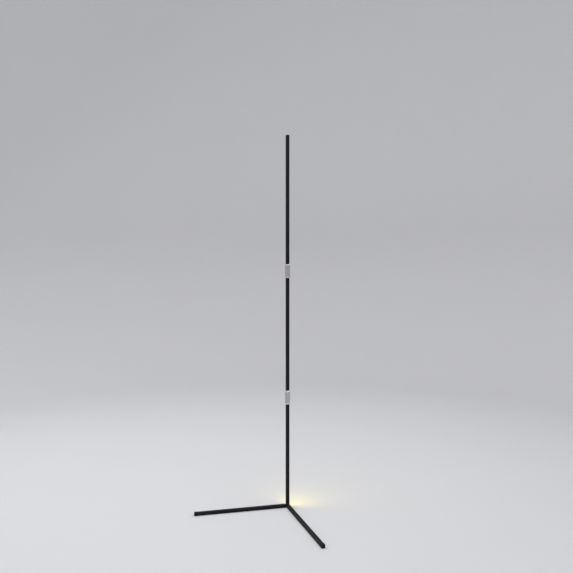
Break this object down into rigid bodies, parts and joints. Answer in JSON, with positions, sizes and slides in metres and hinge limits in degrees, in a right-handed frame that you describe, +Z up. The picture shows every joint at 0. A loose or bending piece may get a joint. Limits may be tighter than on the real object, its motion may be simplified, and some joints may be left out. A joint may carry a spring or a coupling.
{
  "type": "corner floor lamp",
  "caption": "Slim square pole in sleeved sections, with a coloured light strip along its rear edge, standing in a corner of a room on a low V of bar legs.",
  "frame": {"origin": "on the floor, on the axis of the pole and of the bolt that the legs swing on", "axes": "+Z up the pole; +Y into the corner of the room, the way the light strip faces; +X to the right of someone who looks into the corner"},
  "size_m": [0.5322, 0.2518, 1.42],
  "materials": {
    "black_aluminium": "black anodised, satin",
    "black_steel": "black powder coat, fine texture, on solid steel",
    "milky_lower": "milky, translucent, lit from within: yellow at the foot to green and blue",
    "milky_middle": "milky, translucent, lit from within: green-blue to violet",
    "milky_upper": "milky, translucent, lit from within: violet to pink",
    "white_board": "white solder mask",
    "light_chips": "white package with a clear yellowish lens",
    "black_chips": "moulded black",
    "connector_plastic": "natural white",
    "silver_sleeve": "satin silver anodised",
    "plain_steel": "zinc plated",
    "black_screw": "black oxide",
    "black_plastic": "fine spark-eroded texture",
    "gold_contacts": "plated",
    "lead_insulation": "smooth",
    "nylon": "black",
    "black_rubber": "matte"
  },
  "bodies": {
    "pole_foot": {"lower_profile": "black_aluminium", "lower_diffuser": "milky_lower", "lower_led_board": "white_board", "lower_leds": "light_chips", "lower_control_chips": "black_chips", "lower_board_socket": "connector_plastic", "lower_collar": "silver_sleeve", "lower_collar_screws": "plain_steel", "lower_joint_key": "plain_steel", "foot_block": "black_plastic", "foot_block_screws": "black_screw", "dc_socket_body": "black_plastic", "dc_socket_pin": "gold_contacts", "inlet_leads": "lead_insulation", "pivot_bolt": "plain_steel", "pivot_washers": "nylon"},
    "middle_section": {"middle_profile": "black_aluminium", "middle_diffuser": "milky_middle", "middle_led_board": "white_board", "middle_leds": "light_chips", "middle_board_plug": "connector_plastic", "middle_plug_pins": "gold_contacts", "middle_board_socket": "connector_plastic", "upper_collar": "silver_sleeve", "upper_collar_screws": "plain_steel", "upper_joint_key": "plain_steel"},
    "upper_section": {"upper_profile": "black_aluminium", "upper_diffuser": "milky_upper", "upper_led_board": "white_board", "upper_leds": "light_chips", "upper_board_plug": "connector_plastic", "upper_plug_pins": "gold_contacts", "top_cap": "black_plastic"},
    "left_leg": {"left_leg_bar": "black_steel", "left_leg_cap": "black_rubber", "left_foot_pad": "black_rubber", "centre_foot_pad": "black_rubber"},
    "right_leg": {"right_leg_bar": "black_steel", "right_leg_cap": "black_rubber", "right_foot_pad": "black_rubber"}
  },
  "joints": [
    {"name": "middle_lift", "type": "slide", "parent": "pole_foot", "child": "middle_section", "axis": [0, 0, 1], "range_m": [0, 0.06]},
    {"name": "upper_lift", "type": "slide", "parent": "middle_section", "child": "upper_section", "axis": [0, 0, 1], "range_m": [0, 0.06]},
    {"name": "left_leg_swing", "type": "hinge", "parent": "pole_foot", "child": "left_leg", "pos_m": [0, 0, 0.0036], "axis": [0, 0, -1], "range_deg": [-6, 42]},
    {"name": "right_leg_swing", "type": "hinge", "parent": "pole_foot", "child": "right_leg", "pos_m": [0, 0, 0.0094], "axis": [0, 0, 1], "range_deg": [-6, 42]}
  ]
}
